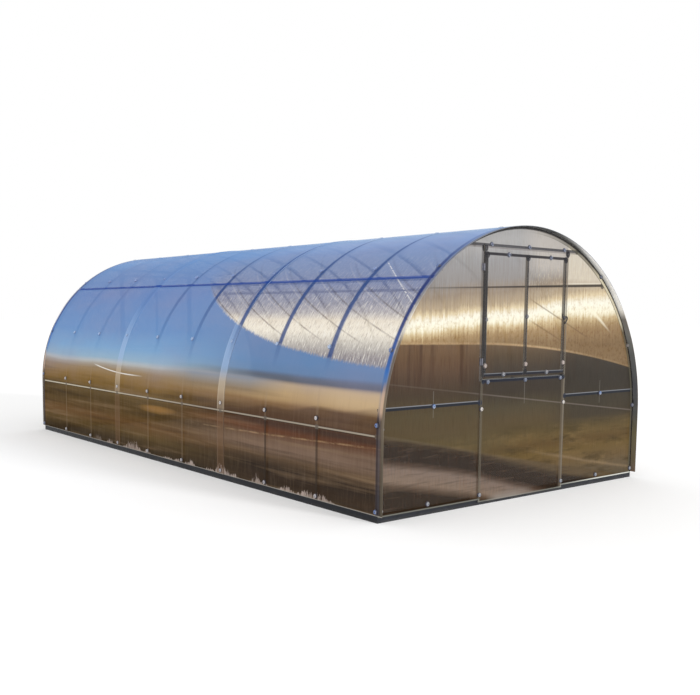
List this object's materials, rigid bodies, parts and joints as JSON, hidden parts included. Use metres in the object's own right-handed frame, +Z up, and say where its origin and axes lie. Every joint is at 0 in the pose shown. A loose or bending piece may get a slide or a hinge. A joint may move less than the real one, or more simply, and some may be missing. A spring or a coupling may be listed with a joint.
{
  "type": "polycarbonate greenhouse",
  "caption": "Arched garden greenhouse: square steel tube arches on a base rail, under bent twin-wall polycarbonate sheets, with a vent window in each flat gable.",
  "frame": {"origin": "on the ground, in the middle of the plan", "axes": "+X to the right, seen from the front gable with the hinges on the left; +Y from the front gable to the back one; +Z up"},
  "size_m": [3.0172, 6.1, 2.0984],
  "materials": {
    "steel_tube": "galvanised square tube, dull grey",
    "base_paint": "dark slate base rail",
    "cover_sheet": "bronze twin-wall polycarbonate, glossy",
    "gable_sheet": "bronze twin-wall polycarbonate, glossy",
    "black_metal": "black painted hinges and turn catch"
  },
  "bodies": {
    "root": {"base_left": "base_paint", "base_right": "base_paint", "base_front": "base_paint", "base_back": "base_paint", "arch_1": "steel_tube", "arch_2": "steel_tube", "arch_3": "steel_tube", "arch_4": "steel_tube", "arch_5": "steel_tube", "arch_6": "steel_tube", "arch_7": "steel_tube", "arch_8": "steel_tube", "arch_9": "steel_tube", "arch_10": "steel_tube", "purlin_left_lower": "steel_tube", "purlin_left_upper": "steel_tube", "purlin_right_lower": "steel_tube", "purlin_right_upper": "steel_tube", "front_post_left": "steel_tube", "front_post_right": "steel_tube", "front_crossbar": "steel_tube", "front_side_rails": "steel_tube", "front_sill": "steel_tube", "window_frame": "steel_tube", "window_hinges": "black_metal", "window_catch": "black_metal", "window_sheet": "gable_sheet", "front_sheet_left": "gable_sheet", "front_sheet_right": "gable_sheet", "front_sheet_lower": "gable_sheet", "front_sheet_top": "gable_sheet", "back_posts": "steel_tube", "back_crossbar": "steel_tube", "back_side_rails": "steel_tube", "back_sill": "steel_tube", "back_window_frame": "steel_tube", "back_window_fittings": "black_metal", "back_window_sheet": "gable_sheet", "back_sheet_sides": "gable_sheet", "back_sheet_lower": "gable_sheet", "back_sheet_top": "gable_sheet", "cover_front": "cover_sheet", "cover_middle": "cover_sheet", "cover_back": "cover_sheet"}
  },
  "joints": []
}
